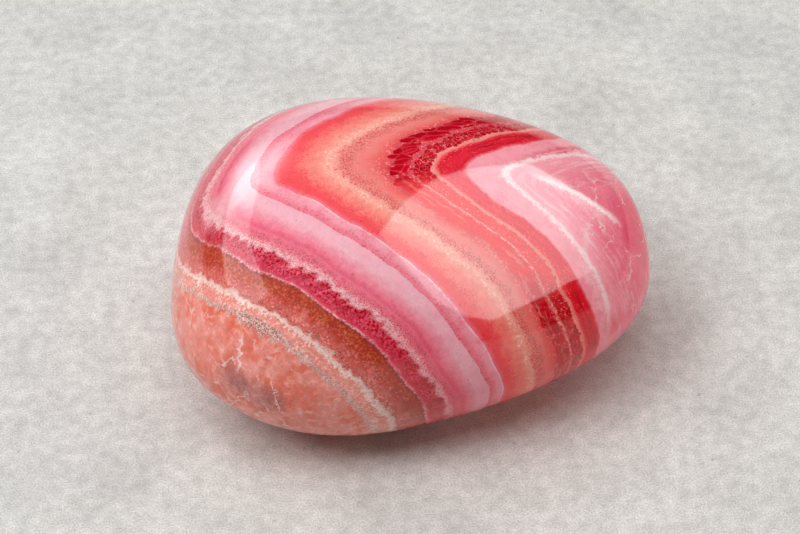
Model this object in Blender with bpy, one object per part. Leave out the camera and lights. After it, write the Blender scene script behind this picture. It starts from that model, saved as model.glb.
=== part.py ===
"""Polished rhodochrosite palm stone.

One tumbled pebble of banded pink stone, broad and high at its -X end and narrower and lower at
its +X end. It lies on a small flat patch worn into its underside. Metres, +Z up. The origin is
the middle of the bottom of its bounding box, with the longest side along X and the shortest
along Z.
"""

from collections import namedtuple

import bmesh
import bpy
import numpy as np

# Driving dimensions, in metres: the stone's bounding box, as it lies
LENGTH = 0.060
WIDTH = 0.047
HEIGHT = 0.033

# How much is worn off the lowest point, which leaves the flat patch that the stone lies on
REST_WEAR = 0.00045

# How the pebble departs from a plain ellipsoid, as shares of its half sizes
TAPER = 0.22           # the +X end is this much narrower than the middle
CROWN = 0.15           # the +X end is this much lower than the middle
WAIST_DROP = 0.13      # the widest line lies this far below mid-height
PLAN_FULLNESS = 0.06   # the plan is this much fuller than an ellipse at its four corners
SIDE_FULLNESS = 0.02   # the same for the stone seen from the side
BEND = 0.07            # both ends curve this far towards -Y

# Soft bulges and hollows that tumbling left. Azimuth runs from +X towards +Y and elevation up
# from the waist, in degrees. Rise is outwards, in metres. A higher focus is a narrower bulge.
Bulge = namedtuple("Bulge", "azimuth elevation rise focus")
BULGES = {
    "front_belly": Bulge(-115, -42, 0.0007, 8),
    "front_left_hollow": Bulge(-143, -31, -0.0013, 8),
    "left_chin": Bulge(-167, -14, 0.0016, 8),
    "right_nose": Bulge(-13, -10, 0.0011, 8),
    "rear_right_shoulder": Bulge(25, 23, 0.0021, 6),
    "rear_left_shoulder": Bulge(138, 32, 0.0006, 6),
}

SPHERE_SUBDIVISIONS = 5     # about 5,000 triangles, 1.5 mm apart
RIM_MERGE = 0.0003          # points nearer than this along the edge of the flat patch are merged

COLLECTION_NAME = "rhodochrosite_palm_stone"
STONE_NAME = "palm_stone"

STONE_COLOUR = (0.68, 0.16, 0.18, 1.0)
STONE_ROUGHNESS = 0.14
STONE_METALLIC = 0.0


def clear_scene():
    """Remove every object, so that the file holds the stone alone."""
    for thing in list(bpy.data.objects):
        bpy.data.objects.remove(thing, do_unlink=True)


def direction(azimuth, elevation):
    """Unit vector at an azimuth and an elevation given in degrees."""
    turn, lift = np.radians((azimuth, elevation))
    return np.array((np.cos(turn) * np.cos(lift), np.sin(turn) * np.cos(lift), np.sin(lift)))


def pebble_points(unit):
    """Move points of a unit sphere, one a row, onto the pebble, centred on its box.

    Each point is scaled by the half sizes, fuller towards the corners of the plan and of the
    side view, then narrowed and lowered towards +X, dropped at the waist and bent in plan. The
    bulges are added along their own directions, and the whole is fitted to the box.
    """
    x, y, z = unit.T
    fullness = 1 + 4 * PLAN_FULLNESS * x**2 * y**2 + 4 * SIDE_FULLNESS * (x**2 + y**2) * z**2
    half_length, half_width, half_height = LENGTH / 2, WIDTH / 2, (HEIGHT + REST_WEAR) / 2
    points = np.column_stack((
        half_length * x * fullness,
        half_width * y * fullness * (1 - TAPER * x) - half_length * BEND * x**2,
        half_height * (z * fullness - WAIST_DROP * (1 - z**2)) * (1 - CROWN * x),
    ))
    for bulge in BULGES.values():
        towards = direction(bulge.azimuth, bulge.elevation)
        swell = bulge.rise * np.exp(bulge.focus * (unit @ towards - 1))
        points += swell[:, None] * towards
    low, high = points.min(axis=0), points.max(axis=0)
    box = np.array((LENGTH, WIDTH, HEIGHT + REST_WEAR))
    return (points - (low + high) / 2) * box / (high - low)


def shape_pebble(mesh):
    """Reshape a unit sphere's mesh into the pebble and stand its lowest point at -REST_WEAR."""
    unit = np.empty(len(mesh.vertices) * 3)
    mesh.vertices.foreach_get("co", unit)
    unit = unit.reshape(-1, 3)
    unit /= np.linalg.norm(unit, axis=1, keepdims=True)
    points = pebble_points(unit)
    points[:, 2] += (HEIGHT - REST_WEAR) / 2
    mesh.vertices.foreach_set("co", points.ravel())
    mesh.update()


def wear_flat(mesh):
    """Cut the pebble off at Z = 0 and close the cut with one flat face, the resting patch."""
    pebble = bmesh.new()
    pebble.from_mesh(mesh)
    everything = pebble.verts[:] + pebble.edges[:] + pebble.faces[:]
    bmesh.ops.bisect_plane(
        pebble, geom=everything, plane_co=(0, 0, 0), plane_no=(0, 0, 1), clear_inner=True
    )
    rim = [vertex for vertex in pebble.verts if vertex.is_boundary]
    bmesh.ops.remove_doubles(pebble, verts=rim, dist=RIM_MERGE)
    rim_edges = [edge for edge in pebble.edges if edge.is_boundary]
    patch = bmesh.ops.contextual_create(pebble, geom=rim_edges)["faces"]
    bmesh.ops.recalc_face_normals(pebble, faces=pebble.faces[:])
    for face in pebble.faces:
        face.smooth = face not in patch
    pebble.to_mesh(mesh)
    pebble.free()


def stone_material():
    """Banded rose-red carbonate with a tumbled, glassy polish."""
    material = bpy.data.materials.new("polished_rhodochrosite")
    material.use_nodes = True
    shader = material.node_tree.nodes["Principled BSDF"]
    shader.inputs["Base Color"].default_value = STONE_COLOUR
    shader.inputs["Roughness"].default_value = STONE_ROUGHNESS
    shader.inputs["Metallic"].default_value = STONE_METALLIC
    return material


def make_stone(collection):
    """Model the one solid that the object is."""
    bpy.ops.mesh.primitive_ico_sphere_add(subdivisions=SPHERE_SUBDIVISIONS, radius=1.0)
    stone = bpy.context.object
    stone.name = STONE_NAME
    stone.data.name = STONE_NAME
    shape_pebble(stone.data)
    wear_flat(stone.data)
    stone.data.materials.append(stone_material())
    for owner in list(stone.users_collection):
        owner.objects.unlink(stone)
    collection.objects.link(stone)
    return stone


def main():
    """Build the stone in a collection of its own."""
    clear_scene()
    collection = bpy.data.collections.new(COLLECTION_NAME)
    bpy.context.scene.collection.children.link(collection)
    make_stone(collection)


main()
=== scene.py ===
"""Looks of a polished rhodochrosite palm stone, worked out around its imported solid.

The stone is one closed surface: a pebble given by a formula, as fine as its polish needs. Each
point of it carries its place in the layers that the mineral grew in: how deep it lies from the
white line between the pink and the red, and where it lies along that layer. The material reads
those numbers and lays down the bands, the dog-tooth edges and the crystal grain.
"""

from collections import namedtuple

import bpy
import numpy as np
from mathutils import Matrix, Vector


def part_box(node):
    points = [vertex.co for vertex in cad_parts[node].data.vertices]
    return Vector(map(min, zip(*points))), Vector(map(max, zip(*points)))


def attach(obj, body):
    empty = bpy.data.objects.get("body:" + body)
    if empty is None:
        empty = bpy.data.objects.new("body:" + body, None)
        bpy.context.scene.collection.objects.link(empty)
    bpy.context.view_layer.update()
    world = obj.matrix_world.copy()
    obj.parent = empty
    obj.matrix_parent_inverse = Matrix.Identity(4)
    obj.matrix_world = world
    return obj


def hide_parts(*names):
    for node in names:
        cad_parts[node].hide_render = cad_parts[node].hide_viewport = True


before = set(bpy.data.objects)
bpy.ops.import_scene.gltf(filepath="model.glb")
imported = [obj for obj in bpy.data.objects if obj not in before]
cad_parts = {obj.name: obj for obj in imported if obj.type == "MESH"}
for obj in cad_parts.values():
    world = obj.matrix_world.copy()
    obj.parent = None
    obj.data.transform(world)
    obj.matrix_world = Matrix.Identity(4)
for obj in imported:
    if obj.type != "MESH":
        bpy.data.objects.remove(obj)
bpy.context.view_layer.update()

bl_info = {
    "name": "Rhodochrosite Palm Stone",
    "version": (1, 0, 0),
    "blender": (4, 5, 0),
    "location": "View3D > Sidebar > Palm Stone",
    "description": "Builds a tumbled and polished stone of banded rhodochrosite on a plain stage",
    "category": "Add Mesh",
}

NODE = "palm_stone"
BODY = "root"
MM = 0.001

BOX_LOW, BOX_HIGH = (np.array(corner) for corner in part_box(NODE))

# How the pebble departs from a plain ellipsoid, as shares of its half sizes
TAPER = 0.22           # the +X end is this much narrower than the middle
CROWN = 0.15           # the +X end is this much lower than the middle
WAIST_DROP = 0.13      # the widest line lies this far below mid-height
PLAN_FULLNESS = 0.06   # the plan is this much fuller than an ellipse at its four corners
SIDE_FULLNESS = 0.02   # the same for the stone seen from the side
BEND = 0.07            # both ends curve this far towards -Y
REST_WEAR = 0.00045    # how much is worn off the lowest point, in metres, for the resting patch

# Soft bulges and hollows left by tumbling: azimuth and elevation of the direction in degrees,
# rise along it in metres, and focus, which is higher for a narrower bulge
Bulge = namedtuple("Bulge", "azimuth elevation rise focus")
BULGES = {
    "front_belly": Bulge(-115, -42, 0.0007, 8),
    "front_left_hollow": Bulge(-143, -31, -0.0013, 8),
    "left_chin": Bulge(-167, -14, 0.0016, 8),
    "right_nose": Bulge(-13, -10, 0.0011, 8),
    "rear_right_shoulder": Bulge(25, 23, 0.0021, 6),
    "rear_left_shoulder": Bulge(138, 32, 0.0006, 6),
}

# The layers fold round a hinge at the stone's left. On each limb a layer is nearly a plane that
# faces an azimuth and dips, in degrees. Fan is how much its layers spread per mm along the limb
# and up it, and bow is how much each layer curves, per mm, along, up and across both.
HINGE_MM = (-19.2, -1.03, 30.0)
HINGE_ROUNDING_MM = 1.86
Limb = namedtuple("Limb", "azimuth dip fan_along fan_up bow_along bow_up bow_across")
LIMBS = {
    "front": Limb(46.8, -0.99, -0.0003, 0.0086, -0.0058, -0.0155, 0.0079),
    "back": Limb(-24.74, -25.62, 0.0041, -0.0041, -0.0158, -0.0323, -0.0096),
}

# Places where the layers swell or sag while they grow: middle, reach and rise, in mm
Swell = namedtuple("Swell", "middle reach rise")
SWELLS = (
    Swell((16, -10, 26), 3.0, -0.69),
    Swell((11, -4, 30), 2.0, 0.50),
    Swell((15, -18, 19), 4.5, 0.44),
    Swell((-2, -1, 33), 2.0, -0.72),
    Swell((-9, -17, 27), 2.0, 0.48),
    Swell((9, -13, 28), 3.0, -0.45),
    Swell((3, -6, 32), 4.5, 0.26),
    Swell((-13, -5, 32), 3.0, -0.39),
    Swell((-19, -13, 27), 3.0, 0.44),
    Swell((-23, 10, 25), 3.0, -0.44),
    Swell((-16, 7, 30), 3.0, 0.39),
    Swell((-26, 3, 24), 2.0, 0.42),
    Swell((15, 7, 29), 3.0, -0.40),
    Swell((2, -20, 19), 3.0, 0.45),
)

# Growth depths that more than one pattern uses, in mm from the white line
VEIN = -13.6
CREAM_SEAM = -11.8
BROWN_LINE = -8.25
TOOTH_EDGE = -6.55
WHITE_LINE = 0.0
GRANULAR = 3.96
BLOBS_START = 6.3
PALE_LINE = 8.26
CREAM_LINE = 9.85
SHELL_PINK = 12.05

# Where patterns start and are full, in mm: the first in growth depth, and the others along the
# layers towards the front
RIGHT_END = (23.5, 27.0)
ON_FRONT = (6.5, 10.5)
ON_BACK = (7.0, 1.0)
# NOT_LOW ends the painted reflection that pales the crimson on the front, low down
NOT_LOW = (26.0, 22.0)

# The growth depths that the colour ramps reach over, in mm
DEPTH_LOW = -24.0
DEPTH_HIGH = 34.0

# A layer: where it starts in growth depth and how soft that edge is, in mm; how much the edge is
# jagged, how sugary and how toothed, in mm; its colour and that of its flecks; the share of
# flecks; and their nature, from 0 for clouds to 1 for sugar grains
Band = namedtuple("Band", "start blur jag sugar teeth base fleck share nature")
OUTER_BANDS = (
    Band(DEPTH_LOW, 0, 0.2, 0.1, 0, "matrix", "matrix_deep", 0.50, 0.3),
    Band(VEIN, 0.8, 0.3, 0.1, 0, "matrix", "veinlet", 0.27, 0.6),
    Band(CREAM_SEAM + 0.2, 0.3, 0.25, 0.15, 0, "rose_brown", "matrix", 0.35, 0.4),
    Band(-10.4, 0.9, 0.5, 0.3, 0, "rust", "rose_brown", 0.45, 0.5),
    Band(-9.5, 0.6, 0.3, 0.3, 0, "rust", "ochre", 0.38, 0.7),
    Band(BROWN_LINE - 0.3, 0.3, 0.06, 0.05, 0, "brown", "rust", 0.50, 0.6),
    Band(BROWN_LINE, 0.12, 0.06, 0.05, 0, "pink", "lace", 0.55, 0.6),
    Band(BROWN_LINE + 0.14, 0.15, 0.06, 0.05, 0, "rose", "crimson", 0.42, 0.8),
    Band(-7.8, 0.5, 0.15, 0.15, 0.3, "crimson", "rose", 0.58, 0.95),
    Band(TOOTH_EDGE, 0.35, 0.15, 0.35, 1.0, "lace", "rose", 0.45, 1.0),
    Band(-5.95, 0.5, 0.2, 0.4, 0.6, "pink", "lace", 0.42, 1.0),
    Band(-5.3, 0.6, 0.2, 0.5, 0.1, "pink", "rose", 0.40, 0.9),
    Band(-4.6, 0.3, 0.06, 0.1, 0, "rose_thin", "pink", 0.20, 0.3),
    Band(-4.25, 0.4, 0.06, 0, 0, "pink", "rose_thin", 0.25, 0.4),
    Band(-3.35, 1.3, 0.15, 0, 0, "lilac", "pink_light", 0.30, 0.5),
)
OUTER_ENDS = (
    Band(-1.51, 0.12, 0, 0.05, 0, "pink", "rose", 0.28, 0.9),
    Band(-0.9, 0.6, 0, 0, 0, "pink_light", "pink", 0.40, 0.5),
    Band(WHITE_LINE - 0.10, 0.14, 0, 0, 0, "white", "pink_light", 0.50, 0.6),
)
INNER_BANDS = (
    Band(WHITE_LINE, 0, 0, 0, 0, "pink", "red", 0.30, 0.8),
    Band(0.22, 0.4, 0, 0, 0, "red", "scarlet", 0.26, 0.8),
    Band(1.5, 0.9, 0.25, 0.5, 0, "orange", "red", 0.32, 0.9),
    Band(2.75, 0.8, 0.25, 0.5, 0, "cream", "orange", 0.32, 0.9),
    Band(GRANULAR - 0.5, 0.3, 0.2, 0.3, 0, "cream", "sugar_white", 0.32, 1.0),
    Band(GRANULAR, 0.4, 0.25, 0.3, 0, "coral", "coral_deep", 0.30, 0.9),
    Band(5.6, 0.9, 0.2, 0.2, 0, "coral_deep", "coral", 0.35, 0.6),
    Band(BLOBS_START, 0.4, 0.12, 0.08, 0, "coral_lace", "orange", 0.15, 1.0),
    Band(CREAM_LINE - 0.10, 0.12, 0.05, 0.04, 0, "cream_line", "cream", 0.40, 0.9),
    Band(CREAM_LINE + 0.14, 0.15, 0.05, 0.04, 0, "scarlet", "red", 0.45, 0.7),
    Band(CREAM_LINE + 0.7, 0.5, 0.08, 0.05, 0, "scarlet", "red", 0.20, 0.7),
    Band(SHELL_PINK, 0.12, 0.04, 0, 0, "shell_pink", "pink", 0.32, 0.6),
    Band(15.2, 1.0, 0.4, 0, 0, "cloud_pink", "shell_pink", 0.50, 0.1),
    Band(19.0, 3.0, 0.4, 0, 0, "cloud_pink", "shell_pink", 0.45, 0.1),
    Band(24.0, 2.0, 0.4, 0, 0, "rose_end", "cloud_pink", 0.35, 0.1),
)

# The white hook at the right end: two flat sides, each with a point on it and the way it faces in
# degrees; how far the corner between them is rounded; half the hook's width; how much it covers of
# what lies under it; and its middle, with how far from there it starts to thin out and ends.
# Lengths are in mm.
HookSide = namedtuple("HookSide", "middle azimuth dip")
HOOK_SIDES = (
    HookSide((18.05, -8.35, 25.6), 60, -15),
    HookSide((15.6, 1.9, 29.3), -54, 7),
)
HOOK_ROUNDING = 5.0
HOOK_HALF_WIDTH = 0.58
HOOK_SHARE = 0.85
HOOK_MIDDLE = (17.5, -4.0, 27.0)
HOOK_CORE = 11.0
HOOK_REACH = 20.0

# Single white wisps: middle, the way each faces in degrees, how far it reaches from its middle,
# half its width, how jagged it is, and how much it covers. Lengths are in mm.
Wisp = namedtuple("Wisp", "middle azimuth dip reach width jag share")
WISPS = (
    Wisp((19.2, -2.1, 27.6), 78, -24, 7.0, 0.8, 0.4, 0.22),
    Wisp((20.4, -2.35, 26.6), 87, -18, 7.5, 0.32, 0.25, 0.9),
    Wisp((23.7, -7.8, 23.7), 138, -60, 4.5, 0.12, 0.2, 0.8),
    Wisp((22.6, -13.6, 20.3), 60, -15, 6.5, 0.5, 0.9, 0.3),
    Wisp((-22.0, -19.3, 20.4), 142, -8, 3.0, 0.12, 0.7, 0.9),
    Wisp((-15.7, -23.8, 16.1), 100, -12, 2.4, 0.12, 0.6, 0.9),
)

# Stained places in the rock and clouds at the right end: middle and reach in mm, colour, and the
# share of it at most. A spot shows from its least value of the cloud grain, which is higher for a
# patchier one, and has its full share from SPOT_FULL.
Spot = namedtuple("Spot", "middle reach tint share least", defaults=(0.55, 0.06))
SPOTS = (
    Spot((-23.0, -20.6, 16.9), 4.2, "stain"),
    Spot((-21.0, -22.0, 16.4), 3.6, "stain"),
    Spot((-19.0, -23.1, 15.3), 4.2, "stain"),
    Spot((-27.1, -16.8, 15.7), 3.4, "matrix_deep"),
    Spot((-24.9, -6.5, 25.5), 4.0, "rust"),
    Spot((-23.4, -1.6, 27.0), 4.4, "lace"),
    Spot((28.0, 0.6, 20.8), 4.8, "rose_cloud", 0.95, 0.12),
    Spot((26.9, -4.6, 21.4), 3.7, "rose_cloud", 0.95, 0.12),
    Spot((23.6, -14.9, 16.6), 5.0, "rose_cloud", 0.55, 0.15),
)
SPOT_FULL = 0.47

# The grey vein and the cream seam, in mm: half the vein's width away from its cluster of dark
# grains and in it, the cluster's middle and reach, and half the seam's width
VEIN_HALF_WIDTH = (0.45, 1.5)
PEPPER_MIDDLE = (-19.1, -18.1, 24.0)
PEPPER_REACH = 5.0
SEAM_HALF_WIDTH = 0.58

# The stone's noises: size in mm and detail. The specks stand for grains of less than 0.1 mm, and
# are drawn as coarse as they need to be to show.
GRAINS = {
    "drift": (5.0, 2.0),
    "cloud": (2.4, 4.0),
    "lumps": (0.9, 3.0),
    "sugar": (0.28, 3.0),
    "specks": (0.17, 1.0),
}
NOISE_SPAN = (0.33, 0.67)    # a noise's values lie between these nearly everywhere

# Sizes of the other patterns in mm: those in threes are across the layers, along them and up
CRACK_SIZE = 5.0
TOOTH_SIZE = 1.2
GRANULE_SIZE = 0.75
BLOB_SIZE = (0.9, 1.1, 1.1)
STREAK_SIZE = (0.4, 4.0, 4.0)

# How far patterns are moved, in mm
WANDER = 0.2          # the layers, by the drift
TOOTH_HEIGHT = 0.8    # the layers, at the dog teeth's tips
FEATHER = 0.15        # the edge of the hook and the wisps, by the sugar
HOOK_JAG = 0.18       # the hook, by the lumps
SWIRL = 0.8           # the blobs and the streaks, by the lumps
CRACK_SWIRL = 1.6     # the cracks, by the lumps

# How far the sugar moves edges, as shares of a pattern's strength or of its cells
BLOB_FRAY = 0.12
OUTLINE_FRAY = 0.05
SEAM_FRAY = 0.18

FLECK_LIFT = 0.4             # how much a band's share of flecks lifts their grain
FLECK_EDGE = (0.62, 0.78)    # the lifted values where flecks start to show and show fully

# How much other patterns cover, at most, of what lies under them
# PALED_SHARE also sets how far painted reflection pales the crimson on the front
PALED_SHARE = 0.75
SPECK_SHARE = 0.6
CORAL_SHARE = 0.36
CLOUD_SHARE = 0.9
MOTTLE_SHARE = 0.6
VEIN_SHARE = 0.7
SEAM_SHARE = 0.95
PEPPER_SHARE = 0.9
CRACK_SHARE = 0.8

# The layers that have no cracks: the growth depth of their middle and how far they reach, in mm
UNCRACKED_MIDDLE = 2.0
UNCRACKED_REACH = 19.0

# What the patterns are laid out by: the grains and the shifts made from them, the dog teeth's
# cells, places in mm, and the masks that more than one pattern uses
Ground = namedtuple("Ground", (
    *GRAINS, "jag_shift", "sugar_shift", "feather", "tooth", "place", "depth", "along", "rise",
    "swirl", "on_front", "paling",
))


def linear(hex_colour):
    """The linear RGBA of an sRGB hex colour such as "#F6A8B8"."""
    channels = [int(hex_colour[place:place + 2], 16) / 255 for place in (1, 3, 5)]
    return (*(c / 12.92 if c <= 0.04045 else ((c + 0.055) / 1.055) ** 2.4 for c in channels), 1.0)


def colour(name, description, hex_colour):
    """A colour that the user can change, with its default."""
    return bpy.props.FloatVectorProperty(
        name=name, description=description, subtype="COLOR", size=4, min=0, max=1,
        default=linear(hex_colour),
    )


def length(name, description, metres):
    """A length that the user can change, with its default in metres."""
    return bpy.props.FloatProperty(
        name=name, description=description, default=float(metres), min=0, subtype="DISTANCE",
        unit="LENGTH", precision=4,
    )


class PALMSTONE_PG_sizes(bpy.types.PropertyGroup):
    """Sizes of the stone."""

    long_side: length("Length", "Longest side of the stone's box", BOX_HIGH[0] - BOX_LOW[0])
    wide_side: length("Width", "Middle side of the stone's box", BOX_HIGH[1] - BOX_LOW[1])
    high_side: length("Height", "Shortest side of the stone's box", BOX_HIGH[2] - BOX_LOW[2])
    cells: bpy.props.IntProperty(
        name="Cells", description="Grid cells along each side of the surface's six patches",
        default=120, min=8, max=128,
    )


class PALMSTONE_PG_colours(bpy.types.PropertyGroup):
    """Colours of the layers, from the oldest at the left end to the youngest at the right."""

    matrix: colour("Matrix", "Salmon rock that the layers grew on", "#F79B8F")
    matrix_deep: colour("Deep matrix", "Orange patches of the rock", "#F07A64")
    matrix_light: colour("Light matrix", "Pale mottling of the rock", "#F6BCB0")
    stain: colour("Stain", "Grey-purple stain low on the rock", "#9C7074")
    pepper: colour("Pepper", "Dark grains of the grey vein", "#564646")
    vein_grey: colour("Vein grey", "Ground of the peppered vein", "#D4AAA2")
    veinlet: colour("Veinlet", "Whitish seams and crack fillings", "#F9D9D0")
    rose_brown: colour("Rose brown", "Layer next to the cream seam", "#DC6E66")
    rust: colour("Rust", "Iron-stained layer", "#C04638")
    ochre: colour("Ochre", "Gold-brown flecks in the rust", "#C26C44")
    brown: colour("Brown", "Thin dark line of the rust layer", "#94483C")
    rose: colour("Rose", "Layer outside the dog-tooth crystals", "#DE5A72")
    rose_thin: colour("Thin rose", "Soft dark line in the mid pink layer", "#EA607C")
    crimson: colour("Crimson", "Dog-tooth crystals and blobs", "#D00A26")
    # Painted reflection: crimson painted paler where the right panel is mirrored on the front
    crimson_reflection_lit: colour("Pale crimson", "Crimson where it thins out on the front", "#F23A40")
    crimson_deep: colour("Deep crimson", "Darkest parts of the crimson", "#AE0418")
    lace: colour("Lace", "White-pink sugary crystals", "#FBD2D4")
    pink: colour("Pink", "Mid pink layers", "#F68497")
    pink_light: colour("Light pink", "Pale part of the mid pink layers", "#FAA9B7")
    lilac: colour("Lilac", "Pale smooth layer", "#F8B8C4")
    white: colour("White", "Thin white lines and wisps", "#FDE2E4")
    red: colour("Red", "Brightest red layer", "#FA5A60")
    scarlet: colour("Scarlet", "Streaked inner red layer", "#E42A3E")
    orange: colour("Orange", "Orange-red layer", "#FC8E84")
    cream: colour("Cream", "Granular cream layer", "#FCA898")
    dark_grain: colour("Dark grain", "Dark red specks where the cream ends", "#B83C3E")
    sugar_white: colour("Sugar white", "Palest grains of the cream layer", "#FCD2C6")
    coral: colour("Coral", "Smooth coral layer", "#F48F88")
    coral_deep: colour("Deep coral", "Coral next to the crimson blobs", "#EA5E5E")
    coral_lace: colour("Coral lace", "Fine outlines between crimson blobs", "#DA505E")
    cream_line: colour("Cream line", "Thin coral-cream line", "#FBB4A8")
    shell_pink: colour("Shell pink", "Pale fibrous pink layer", "#FAA2B0")
    cloud_pink: colour("Cloud pink", "Cloudy pink near the right end", "#F99CAC")
    rose_end: colour("Rose end", "Cloudy rose at the right end", "#F0728E")
    rose_cloud: colour("Rose cloud", "Deepest clouds of the right end", "#EA3A5A")


def direction(azimuth, elevation):
    """Unit vector at an azimuth, from +X towards +Y, and an elevation, both in degrees."""
    turn, lift = np.radians((azimuth, elevation))
    return np.array((np.cos(turn) * np.cos(lift), np.sin(turn) * np.cos(lift), np.sin(lift)))


def cube_sphere(cells):
    """Unit directions and quads of a sphere made of six square grids that share their edges.

    A grid's two parameters run from -45 to 45 degrees. Their tangents, with 1 for the third
    side, are a point on one face of a cube, and its direction from the middle is on the sphere.
    Lattice points that two faces share are kept once, so the surface is closed.
    """
    steps = np.arange(cells + 1)
    across, up = np.meshgrid(steps, steps, indexing="ij")
    lattice, quads = [], []
    corner = np.arange((cells + 1) ** 2).reshape(cells + 1, cells + 1)
    square = np.stack((corner[:-1, :-1], corner[1:, :-1], corner[1:, 1:], corner[:-1, 1:]), -1)
    for axis in range(3):
        for side in (0, cells):
            face = np.empty((*across.shape, 3), int)
            face[..., axis] = side
            face[..., (axis + 1) % 3] = across
            face[..., (axis + 2) % 3] = up
            lattice.append(face.reshape(-1, 3))
            turned = square if side else square[..., ::-1]
            quads.append(turned.reshape(-1, 4) + len(quads) * corner.size)
    points, place = np.unique(np.concatenate(lattice), axis=0, return_inverse=True)
    unit = np.tan((points / cells - 0.5) * np.pi / 2)
    unit /= np.linalg.norm(unit, axis=1, keepdims=True)
    return unit, place.reshape(-1)[np.concatenate(quads)]


def pebble(unit, sides):
    """Points of the pebble for the directions of a unit sphere, in metres.

    Each direction is scaled by the half sizes, fuller towards the corners of the plan and of
    the side view, then narrowed and lowered towards +X, dropped at the waist and bent in plan.
    The bulges are added along their own directions. The whole is fitted to the box, which
    stands REST_WEAR below the floor, and what is below the floor is pressed flat onto it.
    """
    x, y, z = unit.T
    fullness = 1 + 4 * PLAN_FULLNESS * x**2 * y**2 + 4 * SIDE_FULLNESS * (x**2 + y**2) * z**2
    box = np.array(sides) + (0, 0, REST_WEAR)
    half_length, half_width, half_height = box / 2
    points = np.column_stack((
        half_length * x * fullness,
        half_width * y * fullness * (1 - TAPER * x) - half_length * BEND * x**2,
        half_height * (z * fullness - WAIST_DROP * (1 - z**2)) * (1 - CROWN * x),
    ))
    for bulge in BULGES.values():
        towards = direction(bulge.azimuth, bulge.elevation)
        swell = bulge.rise * np.exp(bulge.focus * (unit @ towards - 1))
        points += swell[:, None] * towards
    low, high = points.min(axis=0), points.max(axis=0)
    points = (points - (low + high) / 2) * box / (high - low)
    points[:, 2] = np.maximum(points[:, 2] + (sides[2] - REST_WEAR) / 2, 0)
    return points


def limb_depth(from_hinge, limb):
    """Depth into one limb's layers: the distance along its facing, fanned and bowed."""
    facing = direction(limb.azimuth, limb.dip)
    level = direction(limb.azimuth - 90, 0)
    out = from_hinge @ facing
    along = from_hinge @ level
    up = from_hinge @ np.cross(facing, level)
    spread = 1 + limb.fan_along * along + limb.fan_up * up
    bowed = limb.bow_along * along**2 + limb.bow_up * up**2 + limb.bow_across * along * up
    return out * spread + bowed


def layer_places(points):
    """Growth depth, place along the layer and height, in mm, for points in metres.

    The depth is the lesser of the two limbs' depths, with the corner between them rounded as a
    hyperbola, plus each swell's rise where a bell curve of its reach leaves it. The place along
    is measured from the upright plane that halves the fold.
    """
    from_hinge = points / MM - HINGE_MM
    front, back = (limb_depth(from_hinge, limb) for limb in LIMBS.values())
    gap = np.hypot(front - back, 2 * HINGE_ROUNDING_MM)
    depth = (front + back - gap) / 2
    for swell in SWELLS:
        away = np.sum((points / MM - swell.middle)**2, axis=1)
        depth += swell.rise * np.exp(-away / (2 * swell.reach**2))
    half_turn = (LIMBS["front"].azimuth - LIMBS["back"].azimuth) / 2
    sideways = direction(LIMBS["back"].azimuth + half_turn - 90, 0)
    along = from_hinge @ sideways / np.cos(np.radians(half_turn))
    return np.column_stack((depth, along, points[:, 2] / MM))


def add(tree, kind, *values, output=0, stops=(), **named):
    """Add a shader node with its settings, set or link its inputs, and return an output of it.

    A kind can name its operation after a point. Small-letter names are the node's settings and
    capitalised ones are its inputs. Values that have no name go to its inputs in their order. The
    output is the first, or the one named.
    """
    kind, *operation = kind.split(".")
    node = tree.nodes.new("ShaderNode" + kind)
    if operation:
        node.operation = operation[0]
    for name, value in named.items():
        if not name[0].isupper():
            setattr(node, name, value)
    open_inputs = [socket for socket in node.inputs if socket.enabled]
    given = list(zip(open_inputs, values))
    given += [(node.inputs[name], value) for name, value in named.items() if name[0].isupper()]
    for socket, value in given:
        if isinstance(value, bpy.types.NodeSocket):
            tree.links.new(value, socket)
        else:
            socket.default_value = value
    for number, (place, tint) in enumerate(stops):
        elements = node.color_ramp.elements
        stop = elements[number] if number < 2 else elements.new(place)
        stop.position = place
        stop.color = tint
    if output:
        return node.outputs[output]
    return next(socket for socket in node.outputs if socket.enabled)


def beside(tree, value, level, reach):
    """A mask that is 1 where a value is at a level and falls smoothly to 0 a reach away."""
    away = add(tree, "Math.SUBTRACT", value, level)
    size = add(tree, "Math.ABSOLUTE", away)
    return add(tree, "MapRange", size, 0.0, reach, 1.0, 0.0, interpolation_type="SMOOTHSTEP")


def near(tree, place, centre, reach, core=0.0):
    """A mask that is 1 within a core of a centre and falls smoothly to 0 at a reach from it."""
    away = add(tree, "VectorMath.DISTANCE", place, centre)
    return add(tree, "MapRange", away, core, reach, 1.0, 0.0, interpolation_type="SMOOTHSTEP")


def ramp_place(depth):
    """Where a growth depth in mm lies on the colour ramps, from 0 to 1."""
    return (depth - DEPTH_LOW) / (DEPTH_HIGH - DEPTH_LOW)


def band_stops(bands, pick):
    """Ramp stops that keep what each band picks from its start to the next band's start."""
    return [
        (ramp_place(following.start + side * following.blur / 2), pick(kept))
        for band, following in zip(bands, bands[1:])
        for side, kept in ((-1, band), (1, following))
    ]


def edge_stops(bands):
    """Ramp stops of how jagged, how sugary and how toothed the edges are, in mm."""
    return [(ramp_place(band.start), (band.jag, band.sugar, band.teeth, 1)) for band in bands]


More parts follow.
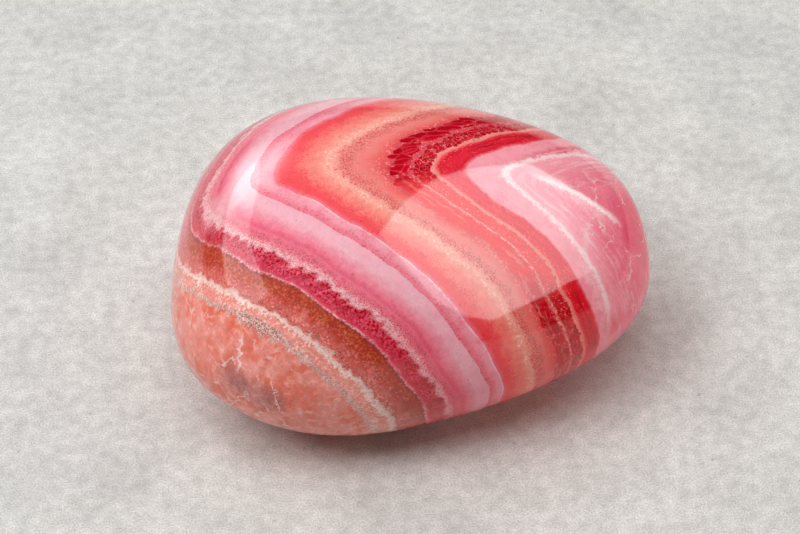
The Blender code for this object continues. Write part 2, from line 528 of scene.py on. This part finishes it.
def band_colour(tree, ground, bands, colours):
    """The colour of the layer at a depth: its base and its flecks, cut out of two grains."""
    place = add(tree, "MapRange", ground.depth, DEPTH_LOW, DEPTH_HIGH)
    bases = band_stops(bands, lambda band: getattr(colours, band.base))
    flecks = band_stops(bands, lambda band: getattr(colours, band.fleck))
    shares = band_stops(bands, lambda band: (band.share, band.nature, 0, 1))
    base = add(tree, "ValToRGB", place, stops=bases)
    fleck = add(tree, "ValToRGB", place, stops=flecks)
    nature = add(tree, "ValToRGB", place, stops=shares)
    share = add(tree, "SeparateColor", nature)
    grain = share.node.outputs["Green"]
    pattern = add(tree, "Mix", grain, ground.cloud, ground.sugar, data_type="FLOAT")
    lifted = add(tree, "Math.MULTIPLY_ADD", share, FLECK_LIFT, pattern)
    mask = add(tree, "MapRange", lifted, *FLECK_EDGE, interpolation_type="SMOOTHSTEP")
    return add(tree, "Mix", mask, base, fleck, data_type="RGBA")


def layer_colour(tree, ground, colours):
    """The colour of the layer at each place, cut off sharply at the white line."""
    outer = band_colour(tree, ground, OUTER_BANDS, colours)
    ends = band_colour(tree, ground, OUTER_ENDS, colours)
    at_ends = add(tree, "Math.GREATER_THAN", ground.depth, OUTER_ENDS[0].start)
    outer = add(tree, "Mix", at_ends, outer, ends, data_type="RGBA")
    inner = band_colour(tree, ground, INNER_BANDS, colours)
    is_inner = add(tree, "Math.GREATER_THAN", ground.depth, WHITE_LINE)
    return add(tree, "Mix", is_inner, outer, inner, data_type="RGBA")


def rough_depth(tree, depth, drift, *shifts):
    """The growth depth in mm, with every layer wandering slowly and its edges moved by shifts.

    How far the jag, the sugar and the teeth shift an edge comes from a ramp over the depth, one on
    each side of the white line.
    """
    wander = add(tree, "MapRange", drift, 0.3, 0.7, -WANDER, WANDER)
    depth = add(tree, "Math.ADD", depth, wander)
    place = add(tree, "MapRange", depth, DEPTH_LOW, DEPTH_HIGH)
    outer_edge = add(tree, "ValToRGB", place, stops=edge_stops(OUTER_BANDS + OUTER_ENDS))
    inner_edge = add(tree, "ValToRGB", place, stops=edge_stops(INNER_BANDS))
    is_inner = add(tree, "Math.GREATER_THAN", depth, WHITE_LINE)
    edge = add(tree, "Mix", is_inner, outer_edge, inner_edge, data_type="RGBA")
    amounts = add(tree, "SeparateColor", edge).node.outputs
    for amount, shift in zip(amounts, shifts):
        depth = add(tree, "Math.MULTIPLY_ADD", amount, shift, depth)
    return depth


def stone_ground(tree):
    """What the stone's patterns are laid out by, each read or made once."""
    place = add(tree, "TexCoord", output="Object")
    place = add(tree, "VectorMath.SCALE", place, Scale=1 / MM)
    layers = add(tree, "Attribute", output="Vector", attribute_name="layers")
    grown = add(tree, "SeparateXYZ", layers)
    along = grown.node.outputs["Y"]
    rise = grown.node.outputs["Z"]

    grains = {
        name: add(tree, "TexNoise", Vector=place, Scale=1 / size, Detail=detail)
        for name, (size, detail) in GRAINS.items()
    }
    jag_shift = add(tree, "MapRange", grains["lumps"], *NOISE_SPAN, -1.0, 1.0)
    sugar_shift = add(tree, "MapRange", grains["sugar"], *NOISE_SPAN, -1.0, 1.0)
    feather = add(tree, "Math.MULTIPLY", sugar_shift, FEATHER)

    bed = add(tree, "CombineXYZ", along, rise)
    tooth = add(tree, "TexVoronoi", Vector=bed, Scale=1 / TOOTH_SIZE, voronoi_dimensions="2D")
    tooth_shift = add(tree, "MapRange", tooth, 0.65, 0.05, 0.0, -TOOTH_HEIGHT)
    depth = rough_depth(tree, grown, grains["drift"], jag_shift, sugar_shift, tooth_shift)
    whirl = grains["lumps"].node.outputs["Color"]
    swirl = add(tree, "VectorMath.MULTIPLY_ADD", whirl, (SWIRL,) * 3, layers)
    on_front = add(tree, "MapRange", along, *ON_FRONT, interpolation_type="SMOOTHSTEP")
    # Painted reflection: the crimson is painted paler on the front, except low down
    not_low = add(tree, "MapRange", along, *NOT_LOW, 0.1, 1.0, interpolation_type="SMOOTHSTEP")
    paling = add(tree, "Math.MULTIPLY", on_front, not_low)
    return Ground(
        *grains.values(), jag_shift, sugar_shift, feather, tooth, place, depth, along, rise, swirl,
        on_front, paling,
    )


def lay_along(tree, tint, ground, level, reach, share, tone):
    """Lay a tone over the tint beside a growth depth, as strongly as its share says."""
    at_level = beside(tree, ground.depth, level, reach)
    share = add(tree, "Math.MULTIPLY", share, at_level)
    return add(tree, "Mix", share, tint, tone, data_type="RGBA")


# Each draw function lays its pattern over the tint so far. A MapRange's first two numbers are the
# values of a grain or a place where the pattern starts and is full, and its last two are how
# strong it is at each, which are 0 and 1 if not given.


def draw_teeth(tree, tint, ground, colours):
    """Draw each dog tooth deepest red in its middle, then pale three layers along the back."""
    core = add(tree, "MapRange", ground.tooth, 0.62, 0.30)
    core = add(tree, "Math.MULTIPLY", core, ground.cloud)
    tint = lay_along(tree, tint, ground, TOOTH_EDGE - 0.5, 1.0, core, colours.crimson_deep)
    for level, reach, start, end, tone in (
        (TOOTH_EDGE - 0.9, 1.4, -4.0, -12.0, colours.rose),
        (BROWN_LINE - 1.6, 2.4, 1.0, -6.0, colours.pink),
        (WHITE_LINE - 0.05, 0.2, 9.0, 3.0, colours.pink),
    ):
        far_back = add(tree, "MapRange", ground.along, start, end, 0.0, PALED_SHARE)
        tint = lay_along(tree, tint, ground, level, reach, far_back, tone)
    return tint


def draw_blobs(tree, tint, ground, colours):
    """Draw the crimson blobs that scallop the coral layer, and the granules further in.

    The crimson is painted paler along the front, as painted reflection of the right panel, and
    each blob has its own depth of red.
    """
    flat_scale = tuple(1 / size for size in BLOB_SIZE)
    flat_place = add(tree, "VectorMath.MULTIPLY", ground.swirl, flat_scale)
    for cell_place, spacing, start, end, fill in (
        (flat_place, 1.0, BLOBS_START, PALE_LINE - 0.1, 0.80),
        (ground.place, GRANULE_SIZE, PALE_LINE - 0.1, CREAM_LINE, 0.74),
    ):
        cells = {"Vector": cell_place, "Scale": 1 / spacing, "Randomness": 0.9}
        cell = add(tree, "TexVoronoi", **cells)
        own = add(tree, "SeparateColor", cell.node.outputs["Color"])
        blood = add(tree, "Mix", own, colours.crimson, colours.crimson_deep, data_type="RGBA")
        # Painted reflection: the blob's red is painted paler on the front
        blood = add(tree, "Mix", ground.paling, blood, colours.crimson_reflection_lit, data_type="RGBA")

        opened = add(tree, "MapRange", ground.depth, start - 0.2, start + 0.4)
        closed = add(tree, "MapRange", ground.depth, end + 0.1, end - 0.3)
        body = add(tree, "Math.MULTIPLY", opened, closed)
        # Painted reflection: the whole blob layer is painted paler on the front
        reflection_paled = add(tree, "Math.MULTIPLY", body, ground.paling)
        reflection_paled = add(tree, "Math.MULTIPLY", reflection_paled, PALED_SHARE)
        tint = add(tree, "Mix", reflection_paled, tint, colours.crimson_reflection_lit, data_type="RGBA")

        swollen = add(tree, "Math.MULTIPLY", body, fill)
        frayed = add(tree, "Math.MULTIPLY_ADD", ground.sugar_shift, BLOB_FRAY, cell)
        margin = add(tree, "Math.SUBTRACT", swollen, frayed)
        blob = add(tree, "MapRange", margin, -0.04, 0.12)
        to_edge = add(tree, "TexVoronoi", feature="DISTANCE_TO_EDGE", **cells)
        to_edge = add(tree, "Math.MULTIPLY_ADD", ground.sugar_shift, OUTLINE_FRAY, to_edge)
        outlined = add(tree, "MapRange", to_edge, -0.02, 0.14, 0.55, 1.0)
        blob = add(tree, "Math.MULTIPLY", blob, outlined)
        tint = add(tree, "Mix", blob, tint, blood, data_type="RGBA")
    return tint


def draw_specks(tree, tint, ground, colours):
    """Draw specks, and the broken pale line where the blobs end on the front.

    The specks are dark red where the cream ends, crimson among the dog teeth's sugar, and white
    in the granules.
    """
    for level, reach, least, most, tone in (
        (GRANULAR + 0.45, 0.8, 0.46, 0.58, colours.dark_grain),
        (TOOTH_EDGE + 0.9, 1.1, 0.47, 0.58, colours.crimson),
        (PALE_LINE + 0.7, 0.9, 0.64, 0.70, colours.sugar_white),
    ):
        dots = add(tree, "MapRange", ground.specks, least, most, 0.0, SPECK_SHARE)
        tint = lay_along(tree, tint, ground, level, reach, dots, tone)
    broken = add(tree, "MapRange", ground.sugar, 0.40, 0.62, 0.25, 0.85)
    broken = add(tree, "Math.MULTIPLY", broken, ground.on_front)
    return lay_along(tree, tint, ground, PALE_LINE, 0.18, broken, colours.cream_line)


def draw_streaks(tree, tint, ground, colours):
    """Draw the streaks along the layers.

    They are pale and red in the coral on the front, deep red in the scarlet, rose in the shell
    pink on the back, and rose and white fibres towards the right end.
    """
    long_scale = tuple(1 / size for size in STREAK_SIZE)
    drawn_out = add(tree, "VectorMath.MULTIPLY", ground.swirl, long_scale)
    streak = add(tree, "TexNoise", Vector=drawn_out, Scale=1.0, Detail=3.0)
    # Painted reflection: the deep red streaks are painted paler on the front
    deep_red = add(
        tree, "Mix", ground.paling, colours.crimson_deep, colours.crimson_reflection_lit, data_type="RGBA",
    )
    in_coral = add(tree, "Math.MULTIPLY", ground.on_front, CORAL_SHARE)
    on_back = add(tree, "MapRange", ground.along, *ON_BACK, interpolation_type="SMOOTHSTEP")
    for level, reach, least, most, share, tone in (
        (7.0, 2.2, 0.52, 0.66, in_coral, colours.cream_line),
        (6.0, 2.2, 0.48, 0.36, in_coral, colours.red),
        ((CREAM_LINE + SHELL_PINK) / 2 + 0.1, 1.15, 0.45, 0.60, 0.75, deep_red),
        (14.4, 1.0, 0.30, 0.50, on_back, colours.rose),
        (26.5, 4.0, 0.48, 0.34, 0.60, colours.rose_cloud),
        (19.0, 5.5, 0.48, 0.68, 0.80, colours.white),
    ):
        streaks = add(tree, "MapRange", streak, least, most)
        streaks = add(tree, "Math.MULTIPLY", streaks, share)
        tint = lay_along(tree, tint, ground, level, reach, streaks, tone)
    return tint


def draw_clouds(tree, tint, ground, colours):
    """Draw the rose clouds at the right end."""
    deep_end = add(tree, "MapRange", ground.depth, *RIGHT_END)
    billow = add(tree, "Mix", 0.45, ground.drift, ground.cloud, data_type="FLOAT")
    clouded = add(tree, "MapRange", billow, 0.46, 0.57, 0.0, CLOUD_SHARE)
    clouded = add(tree, "Math.MULTIPLY", clouded, deep_end)
    return add(tree, "Mix", clouded, tint, colours.rose_cloud, data_type="RGBA")


def draw_rock(tree, tint, ground, colours):
    """Draw the rock's pale mottling, the stained places, and the grey vein and the cream seam.

    Dark grains lie in the vein, in a cluster on it, in the seam's fringe and in the stains.
    """
    in_rock = add(tree, "MapRange", ground.depth, CREAM_SEAM, CREAM_SEAM - 1.0)
    mottle = add(tree, "MapRange", ground.lumps, 0.50, 0.72, 0.0, MOTTLE_SHARE)
    mottle = add(tree, "Math.MULTIPLY", mottle, in_rock)
    tint = add(tree, "Mix", mottle, tint, colours.matrix_light, data_type="RGBA")
    stained = 0.0
    for spot in SPOTS:
        inside = near(tree, ground.place, spot.middle, spot.reach)
        ragged = add(tree, "Math.MULTIPLY", ground.cloud, inside)
        share = add(tree, "MapRange", ragged, spot.least, SPOT_FULL, 0.0, spot.share)
        tint = add(tree, "Mix", share, tint, getattr(colours, spot.tint), data_type="RGBA")
        if spot.tint == "stain":
            stained = add(tree, "Math.MAXIMUM", share, stained)

    cluster = near(tree, ground.place, PEPPER_MIDDLE, PEPPER_REACH)
    vein_width = add(tree, "MapRange", cluster, 0.0, 1.0, *VEIN_HALF_WIDTH)
    vein = beside(tree, ground.depth, VEIN, vein_width)
    vein_share = add(tree, "Math.MULTIPLY", vein, VEIN_SHARE)
    tint = add(tree, "Mix", vein_share, tint, colours.vein_grey, data_type="RGBA")
    seam = beside(tree, ground.depth, CREAM_SEAM, SEAM_HALF_WIDTH)
    seam = add(tree, "Math.MULTIPLY_ADD", ground.sugar_shift, SEAM_FRAY, seam)
    seam = add(tree, "MapRange", seam, 0.15, 1.05, 0.0, SEAM_SHARE)
    tint = add(tree, "Mix", seam, tint, colours.veinlet, data_type="RGBA")

    fringe = beside(tree, ground.depth, CREAM_SEAM + 0.55, 0.45)
    right_part = add(tree, "MapRange", ground.along, 8.0, 16.0)
    fringe = add(tree, "Math.MULTIPLY", fringe, right_part)
    thin_out = add(tree, "MapRange", cluster, 0.0, 0.6, 0.35, 1.0)
    peppered = add(tree, "Math.MULTIPLY", vein, thin_out)
    peppered = add(tree, "Math.MAXIMUM", peppered, fringe)
    peppered = add(tree, "Math.MAXIMUM", peppered, stained)
    dark = add(tree, "MapRange", ground.specks, 0.53, 0.66, 0.0, PEPPER_SHARE)
    dark = add(tree, "Math.MULTIPLY", dark, peppered)
    tint = add(tree, "Mix", dark, tint, colours.pepper, data_type="RGBA")
    light = add(tree, "MapRange", ground.specks, 0.46, 0.36)
    light = add(tree, "Math.MULTIPLY", light, vein)
    return add(tree, "Mix", light, tint, colours.veinlet, data_type="RGBA")


def across_seam(tree, place, seam):
    """How far each place lies the way that a flat seam faces, and how far the seam does, in mm."""
    facing = direction(seam.azimuth, seam.dip)
    out = add(tree, "VectorMath.DOT_PRODUCT", place, tuple(facing), output="Value")
    return out, float(facing @ seam.middle)


def draw_hook(tree, tint, ground, colours):
    """Draw the white hook that two flat sides make, and the deeper pink that it encloses."""
    sides = []
    for side in HOOK_SIDES:
        out, level = across_seam(tree, ground.place, side)
        sides.append(add(tree, "Math.SUBTRACT", out, level))
    hook = add(tree, "Math.SMOOTH_MIN", *sides, HOOK_ROUNDING)
    hook = add(tree, "Math.MULTIPLY_ADD", ground.jag_shift, HOOK_JAG, hook)
    hook = add(tree, "Math.ADD", hook, ground.feather)
    enclosed = add(tree, "MapRange", hook, 0.7, 4.0, 0.0, 1.2)
    enclosed = add(tree, "Math.MULTIPLY", enclosed, ground.cloud)
    tint = add(tree, "Mix", enclosed, tint, colours.rose_end, data_type="RGBA")
    line = beside(tree, hook, 0.0, HOOK_HALF_WIDTH)
    extent = near(tree, ground.place, HOOK_MIDDLE, HOOK_REACH, HOOK_CORE)
    white = add(tree, "Math.MULTIPLY", line, extent)
    white = add(tree, "Math.MULTIPLY", white, HOOK_SHARE)
    return add(tree, "Mix", white, tint, colours.white, data_type="RGBA")


def draw_wisps(tree, tint, ground, colours):
    """Draw the single white wisps, with feathered edges and ends that thin out."""
    for wisp in WISPS:
        out, level = across_seam(tree, ground.place, wisp)
        out = add(tree, "Math.MULTIPLY_ADD", ground.jag_shift, wisp.jag * 0.5, out)
        out = add(tree, "Math.ADD", out, ground.feather)
        line = beside(tree, out, level, wisp.width * 2)
        extent = near(tree, ground.place, wisp.middle, wisp.reach, wisp.reach * 0.6)
        white = add(tree, "Math.MULTIPLY", line, extent)
        white = add(tree, "Math.MULTIPLY", white, wisp.share)
        tint = add(tree, "Mix", white, tint, colours.white, data_type="RGBA")
    return tint


def draw_cracks(tree, tint, ground, colours):
    """Draw the short cracks in the rock and at the right end, healed with white."""
    whirl = ground.lumps.node.outputs["Color"]
    bent = add(tree, "VectorMath.MULTIPLY_ADD", whirl, (CRACK_SWIRL,) * 3, ground.place)
    to_edge = add(tree, "TexVoronoi", Vector=bent, Scale=1 / CRACK_SIZE, feature="DISTANCE_TO_EDGE")
    crack = add(tree, "MapRange", to_edge, 0.004, 0.024, CRACK_SHARE, 0.0)
    cracked = add(tree, "MapRange", ground.cloud, 0.46, 0.58)
    uncracked = beside(tree, ground.depth, UNCRACKED_MIDDLE, UNCRACKED_REACH)
    ends_only = add(tree, "MapRange", uncracked, 0.1, 0.0)
    crack = add(tree, "Math.MULTIPLY", crack, cracked)
    crack = add(tree, "Math.MULTIPLY", crack, ends_only)
    return add(tree, "Mix", crack, tint, colours.veinlet, data_type="RGBA")


def crystal_grain_and_painted_shade(tree, tint, ground):
    """The light and dark of single crystals, and painted shade: deeper colour low on the sides.

    The crystals stand out more in the older layers. The painted shade leaves the red as it is.
    """
    crystals = add(tree, "Math.MULTIPLY_ADD", ground.jag_shift, 0.5, ground.sugar_shift)
    older = add(tree, "MapRange", ground.depth, -5.4, -4.4, 0.14, 0.07)
    oldest = beside(tree, ground.depth, BROWN_LINE, 3.4)
    contrast = add(tree, "Math.MULTIPLY_ADD", oldest, 0.08, older)
    shade = add(tree, "Math.MULTIPLY_ADD", crystals, contrast, 1.0)
    tint = add(tree, "VectorMath.SCALE", tint, Scale=shade)
    # Painted shade: green and blue deepen towards the bottom of the sides, where shade falls
    painted_shade_lowness = add(tree, "MapRange", ground.rise, 27.0, 10.0)
    deepest = add(tree, "MapRange", ground.depth, -9.5, -7.8, 0.12, 0.52)
    painted_shade_gamma = add(tree, "Math.MULTIPLY_ADD", painted_shade_lowness, deepest, 1.0)
    painted_shade_colour = add(tree, "SeparateColor", add(tree, "Gamma", Color=tint, Gamma=painted_shade_gamma))
    green = painted_shade_colour.node.outputs["Green"]
    blue = painted_shade_colour.node.outputs["Blue"]
    return add(tree, "CombineColor", add(tree, "SeparateColor", tint), green, blue)


def polished_rhodochrosite(colours):
    """Rhodochrosite, a banded manganese carbonate, tumbled and polished with fine grit.

    The eye gets a wet, glassy surface over clear-edged layers of pink, red and cream, with
    sugary crystals where a layer ended in free growth.
    """
    material = bpy.data.materials.new("polished_rhodochrosite")
    material.use_nodes = True
    tree = material.node_tree
    shader = tree.nodes["Principled BSDF"]
    ground = stone_ground(tree)
    tint = layer_colour(tree, ground, colours)
    for draw in (
        draw_teeth, draw_blobs, draw_specks, draw_streaks, draw_clouds, draw_rock, draw_hook,
        draw_wisps, draw_cracks,
    ):
        tint = draw(tree, tint, ground, colours)
    # Last come the crystals' grain and the painted shade low on the sides
    tint = crystal_grain_and_painted_shade(tree, tint, ground)

    # The polish is a little less perfect on some crystals than on others
    polish = add(tree, "MapRange", ground.lumps, 0.3, 0.7, 0.05, 0.09)
    relief = add(tree, "Bump", Strength=0.1, Distance=0.02 * MM, Height=ground.cloud)
    tree.links.new(tint, shader.inputs["Base Color"])
    tree.links.new(polish, shader.inputs["Roughness"])
    tree.links.new(relief, shader.inputs["Normal"])
    shader.inputs["IOR"].default_value = 1.52
    return material


# Sizes of the plaster's patterns in mm
PATCH_SIZE = 12.0
GRIT_SIZE = 1.6
SAND_SIZE = 0.22
PORE_SPACING = 4.0


def pale_plaster():
    """Fine plaster, floated by hand: matt and pale, with clouds, grit, sandy grain and pores."""
    material = bpy.data.materials.new("floated_plaster")
    material.use_nodes = True
    tree = material.node_tree
    shader = tree.nodes["Principled BSDF"]
    place = add(tree, "TexCoord", output="Object")
    place = add(tree, "VectorMath.SCALE", place, Scale=1 / MM)
    patches = add(tree, "TexNoise", Vector=place, Scale=1 / PATCH_SIZE, Detail=6.0, Roughness=0.6)
    sand = add(tree, "TexNoise", Vector=place, Scale=1 / SAND_SIZE, Detail=1.0)
    grit = add(tree, "TexNoise", Vector=place, Scale=1 / GRIT_SIZE, Detail=3.0)
    pores = add(tree, "TexVoronoi", Vector=place, Scale=1 / PORE_SPACING)
    broad = add(tree, "MapRange", patches, 0.3, 0.7, 0.86, 1.09)
    fine = add(tree, "MapRange", sand, 0.25, 0.75, 0.74, 1.20)
    middling = add(tree, "MapRange", grit, 0.3, 0.7, 0.87, 1.10)
    pore = add(tree, "MapRange", pores, 0.03, 0.08, 0.75, 1.0)
    mottle = broad
    for shade in (fine, middling, pore):
        mottle = add(tree, "Math.MULTIPLY", mottle, shade)
    tint = add(tree, "VectorMath.SCALE", linear("#D8D7D4")[:3], Scale=mottle)
    tree.links.new(tint, shader.inputs["Base Color"])
    shader.inputs["Roughness"].default_value = 0.85
    shader.inputs["Specular IOR Level"].default_value = 0.2
    bump = add(tree, "Bump", Strength=0.3, Distance=0.1 * MM, Height=sand)
    tree.links.new(bump, shader.inputs["Normal"])
    return material


def new_object(name, data):
    """Link a new object into the scene's collection."""
    made = bpy.data.objects.new(name, data)
    bpy.context.scene.collection.objects.link(made)
    return made


def flat_mesh(name, corners):
    """A mesh of one face with the given corners."""
    mesh = bpy.data.meshes.new(name)
    mesh.from_pydata([tuple(corner) for corner in corners], [], [tuple(range(len(corners)))])
    return mesh


def glowing_cloth(name, strength, spot, gone, full):
    """Thin studio cloth lit from behind, whose light is gone or full at a distance from a spot.

    It lets what stands behind it through, so that panels add up where they overlap.
    """
    material = bpy.data.materials.new(name)
    material.use_nodes = True
    tree = material.node_tree
    tree.nodes.remove(tree.nodes["Principled BSDF"])
    if gone != full:
        place = add(tree, "TexCoord", output="Object")
        away = add(tree, "VectorMath.DISTANCE", place, spot, output="Value")
        strength = add(
            tree, "MapRange", away, gone, full, 0.0, strength, interpolation_type="SMOOTHSTEP",
        )
    light = add(tree, "Emission", Strength=strength)
    clear = add(tree, "BsdfTransparent")
    both = add(tree, "AddShader", light, clear)
    tree.links.new(both, tree.nodes["Material Output"].inputs["Surface"])
    return material


class PALMSTONE_OT_stone(bpy.types.Operator):
    """Make the polished stone in place of its plain solid"""

    bl_idname = "palm_stone.stone"
    bl_label = "Make Stone"
    bl_options = {"REGISTER", "UNDO"}

    def execute(self, context):
        sizes = context.scene.palm_stone_sizes
        unit, quads = cube_sphere(sizes.cells)
        points = pebble(unit, (sizes.long_side, sizes.wide_side, sizes.high_side))
        points[:, :2] += (BOX_LOW + BOX_HIGH)[:2] / 2
        mesh = bpy.data.meshes.new("rhodochrosite_stone")
        mesh.from_pydata(points, [], quads.tolist())
        if mesh.validate():
            raise RuntimeError("the stone's surface isn't closed and clean")
        mesh.shade_smooth()
        layers = mesh.attributes.new("layers", "FLOAT_VECTOR", "POINT")
        layers.data.foreach_set("vector", layer_places(points).ravel())
        mesh.materials.append(polished_rhodochrosite(context.scene.palm_stone_colours))
        stone = new_object("rhodochrosite_stone", mesh)
        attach(stone, BODY)
        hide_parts(NODE)
        return {"FINISHED"}


# The camera: where it stands, seen from what it looks at, in degrees and metres, and its lens and
# sensor in mm
CAMERA_AZIMUTH = -94.5
CAMERA_ELEVATION = 46.0
CAMERA_DISTANCE = 0.2365
CAMERA_AIM = (-0.0013, -0.0013, 0.0149)
CAMERA_LENS = 85.0
CAMERA_SENSOR = 36.0
CAMERA_CLIP = 0.01

STONE_CENTRE = np.array((0, 0, 0.016))
FLOOR_HALF = 2.0

# Soft square lights that shade the stone and the floor: the direction of each in degrees, its power
# in watts, and its colour, which is warm from the right. Distance and size are in metres.
Lamp = namedtuple("Lamp", "azimuth elevation watts tint", defaults=("#FFFFFF",))
LAMPS = {
    "left_key": Lamp(202, 55, 1.72),
    "back_left_key": Lamp(142, 55, 0.57),
    "top_front": Lamp(285, 75, 1.05),
    "top_left": Lamp(165, 75, 0.50),
    "right_low": Lamp(0, 12, 1.10, "#FFF8E6"),
    "back_right_low": Lamp(45, 12, 0.25, "#FFF8E6"),
    "back_left_low": Lamp(135, 12, 0.36),
    "back_right_fill": Lamp(60, 32, 0.40),
}
LAMP_DISTANCE = 0.6
LAMP_SIZE = 0.24

# Where a panel's light isn't even: a place on it, across and up, and how far from there the light
# is gone and is full, as shares of the panel's distance
Fade = namedtuple("Fade", "across up gone full")

# Soft panels that the polish mirrors: the direction in degrees and the distance in metres of the
# middle, the outline across and up as shares of the distance, the strength and the fade
Panel = namedtuple(
    "Panel", "azimuth elevation distance outline strength fade", defaults=(Fade(0, 0, 0, 0),),
)
PANELS = {
    "right_panel": Panel(
        0, 45, 0.6,
        (
            (-1.45, -0.4), (-1.0, -0.34), (-0.45, -0.38), (0.1, -0.64), (0.4, -0.7),
            (0.56, -0.68), (0.62, -0.48), (0.7, -0.27), (0.82, -0.17), (1.0, -0.1), (0.86, 0.12),
            (0.75, 0.3), (0.6, 0.48), (0.3, 0.7), (-0.08, 0.88), (-1.1, 0.22), (-1.4, -0.15),
        ),
        3.7, Fade(0.2, -0.8, 0.22, 0.8),
    ),
    "left_glow": Panel(
        126, 21, 0.6, ((-0.35, -0.1), (0.1, -0.5), (0.5, -0.3), (0.5, 0.4), (-0.3, 0.4)),
        3.9, Fade(0, 0, 0.36, 0),
    ),
    "left_wedge": Panel(
        150, 20, 0.61,
        (
            (-0.55, -0.02), (-0.3, -0.12), (0.06, -0.08), (0.35, 0.02), (0.9, 0.35), (0.9, 0.75),
            (0.4, 0.48), (0.07, 0.25), (-0.32, 0.17),
        ),
        2.5,
    ),
}


def aim(thing, place, target):
    """Stand an object at a place with its -Z axis towards a target and its X axis level."""
    back = np.array(place) - target
    back /= np.linalg.norm(back)
    side = np.cross((0, 0, 1), back)
    side /= np.linalg.norm(side)
    turn = np.eye(4)
    turn[:3, :3] = np.column_stack((side, np.cross(back, side), back))
    turn[:3, 3] = place
    thing.matrix_world = Matrix(turn)


class PALMSTONE_OT_stage(bpy.types.Operator):
    """Make the floor, the studio light and the camera"""

    bl_idname = "palm_stone.stage"
    bl_label = "Make Stage"
    bl_options = {"REGISTER", "UNDO"}

    def execute(self, context):
        scene = context.scene
        corners = np.array(((-1, -1, 0), (1, -1, 0), (1, 1, 0), (-1, 1, 0))) * FLOOR_HALF
        floor = new_object("floor", flat_mesh("floor", corners))
        floor.data.materials.append(pale_plaster())

        for name, panel in PANELS.items():
            towards = direction(panel.azimuth, panel.elevation)
            across = np.cross((0, 0, 1), towards)
            across /= np.linalg.norm(across)
            up = np.cross(towards, across)
            fade = panel.fade
            shares = np.array((fade[:2], *panel.outline))
            places = towards + shares[:, :1] * across + shares[:, 1:] * up
            spot, *corners = STONE_CENTRE + panel.distance * places
            gone, full = panel.distance * fade.gone, panel.distance * fade.full
            sheet = new_object(name, flat_mesh(name, corners))
            cloth = glowing_cloth(name, panel.strength, tuple(spot), gone, full)
            sheet.data.materials.append(cloth)
            sheet.visible_camera = False
            sheet.visible_diffuse = False
            sheet.visible_shadow = False

        for name, lamp in LAMPS.items():
            light = bpy.data.lights.new(name, "AREA")
            light.size = LAMP_SIZE
            light.energy = lamp.watts
            light.color = linear(lamp.tint)[:3]
            holder = new_object(name, light)
            holder.visible_glossy = False
            place = STONE_CENTRE + LAMP_DISTANCE * direction(lamp.azimuth, lamp.elevation)
            aim(holder, place, STONE_CENTRE)

        world = bpy.data.worlds.new("dim_studio")
        world.use_nodes = True
        background = world.node_tree.nodes["Background"]
        background.inputs["Color"].default_value = linear("#D8D6D2")
        scene.world = world
        world.cycles_visibility.diffuse = False
        world.cycles_visibility.glossy = False

        camera = new_object("camera", bpy.data.cameras.new("camera"))
        camera.data.lens = CAMERA_LENS
        camera.data.sensor_width = CAMERA_SENSOR
        camera.data.clip_start = CAMERA_CLIP
        back = direction(CAMERA_AZIMUTH, CAMERA_ELEVATION)
        aim(camera, np.array(CAMERA_AIM) + back * CAMERA_DISTANCE, CAMERA_AIM)
        scene.camera = camera
        scene.view_settings.view_transform = "Standard"
        return {"FINISHED"}


class PALMSTONE_PT_panel(bpy.types.Panel):
    """Lists the sizes, the colours and the operators."""

    bl_idname = "PALMSTONE_PT_panel"
    bl_label = "Palm Stone"
    bl_space_type = "VIEW_3D"
    bl_region_type = "UI"
    bl_category = "Palm Stone"

    def draw(self, context):
        for settings in (context.scene.palm_stone_sizes, context.scene.palm_stone_colours):
            for name in settings.bl_rna.properties.keys():
                if name not in ("rna_type", "name"):
                    self.layout.prop(settings, name)
        for operator in (PALMSTONE_OT_stone, PALMSTONE_OT_stage):
            self.layout.operator(operator.bl_idname)


CLASSES = (
    PALMSTONE_PG_sizes,
    PALMSTONE_PG_colours,
    PALMSTONE_OT_stone,
    PALMSTONE_OT_stage,
    PALMSTONE_PT_panel,
)


def register():
    """Register the classes and attach the settings to the scene."""
    for cls in CLASSES:
        bpy.utils.register_class(cls)
    bpy.types.Scene.palm_stone_sizes = bpy.props.PointerProperty(type=PALMSTONE_PG_sizes)
    bpy.types.Scene.palm_stone_colours = bpy.props.PointerProperty(type=PALMSTONE_PG_colours)


def unregister():
    """Take the settings and the classes away again."""
    del bpy.types.Scene.palm_stone_colours
    del bpy.types.Scene.palm_stone_sizes
    for cls in reversed(CLASSES):
        bpy.utils.unregister_class(cls)


def main():
    """Register the add-on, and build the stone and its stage."""
    register()
    bpy.ops.palm_stone.stone()
    bpy.ops.palm_stone.stage()


if __name__ == "__main__":
    main()
